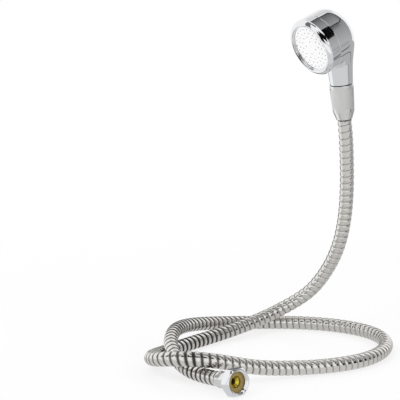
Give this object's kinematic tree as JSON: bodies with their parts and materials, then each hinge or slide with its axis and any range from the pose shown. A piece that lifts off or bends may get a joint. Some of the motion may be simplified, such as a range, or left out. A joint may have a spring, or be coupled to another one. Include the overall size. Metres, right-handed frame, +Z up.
{
  "type": "handheld bath sprayer",
  "caption": "Chromed handheld shower sprayer with a round spray plate, an angled neck, a knurled coupling nut and a flexible metal hose that ends in a hex inlet nut.",
  "frame": {"origin": "on the coupling nut's axis, at the height where a wall holder's cradle grips the nut", "axes": "+Z up, with the hose lying on a level floor at z = -0.248; +Y away from the viewer who faces the spray head; +X to that viewer's right"},
  "size_m": [0.2397, 0.2587, 0.3367],
  "materials": {
    "chrome_shell": "mirror chrome plating on a metal casting",
    "satin_plate": "satin stainless sheet with drilled holes",
    "black_seal": "smooth black rubber seal",
    "white_plastic": "moulded white acetal",
    "screw_steel": "bright zinc-plated steel",
    "limiter_plastic": "moulded green plastic",
    "satin_collar": "satin chrome on brass, knurled grip",
    "turned_brass": "turned brass",
    "ferrule_metal": "crimped chromed brass",
    "hose_steel": "satin stainless strip, wound and interlocked",
    "liner_rubber": "plain extruded tube",
    "tan_fibre": "tan rubberised fibre",
    "chrome_nut": "polished chrome on brass"
  },
  "bodies": {
    "hose": {"hose_jacket": "hose_steel", "hose_liner": "liner_rubber", "upper_ferrule": "ferrule_metal", "upper_insert": "turned_brass", "swivel_bush": "white_plastic", "lower_ferrule": "ferrule_metal", "lower_insert": "turned_brass", "inlet_washer": "tan_fibre"},
    "coupling": {"coupling_nut": "satin_collar", "coupling_washer": "black_seal"},
    "strainer": {"inlet_strainer": "white_plastic"},
    "handset": {"rear_housing": "chrome_shell", "water_spreader": "white_plastic", "spreader_screw": "screw_steel", "housing_o_ring": "black_seal", "flow_limiter": "limiter_plastic"},
    "spray_face": {"spray_plate": "satin_plate", "plate_gasket": "black_seal"},
    "ring": {"face_ring": "chrome_shell"},
    "inlet": {"inlet_nut": "chrome_nut"}
  },
  "joints": [
    {"name": "coupling_spin", "type": "hinge", "parent": "hose", "child": "coupling", "pos_m": [0, 0, 0], "axis": [-0.112, -0.1478, 0.9827], "continuous": true},
    {"name": "head_rise", "type": "slide", "parent": "coupling", "child": "strainer", "axis": [-0.112, -0.1478, 0.9827], "range_m": [0, 0.00907]},
    {"name": "head_unscrew", "type": "hinge", "parent": "strainer", "child": "handset", "pos_m": [0, 0, 0], "axis": [-0.112, -0.1478, 0.9827], "range_deg": [0, 1800]},
    {"name": "face_rise", "type": "slide", "parent": "handset", "child": "spray_face", "axis": [-0.7226, -0.5551, -0.412], "range_m": [0, 0.01]},
    {"name": "ring_unscrew", "type": "hinge", "parent": "spray_face", "child": "ring", "pos_m": [-0.00752, -0.00993, 0.06603], "axis": [-0.7226, -0.5551, -0.412], "range_deg": [0, 1800]},
    {"name": "inlet_nut_spin", "type": "hinge", "parent": "hose", "child": "inlet", "pos_m": [-0.096, -0.174, -0.2349], "axis": [0.6651, -0.7387, 0.1097], "continuous": true}
  ],
  "couplings": [
    {"joint": "head_unscrew", "follows": "head_rise", "rad_per_m": 3463.7},
    {"joint": "ring_unscrew", "follows": "face_rise", "rad_per_m": 3141.5}
  ]
}
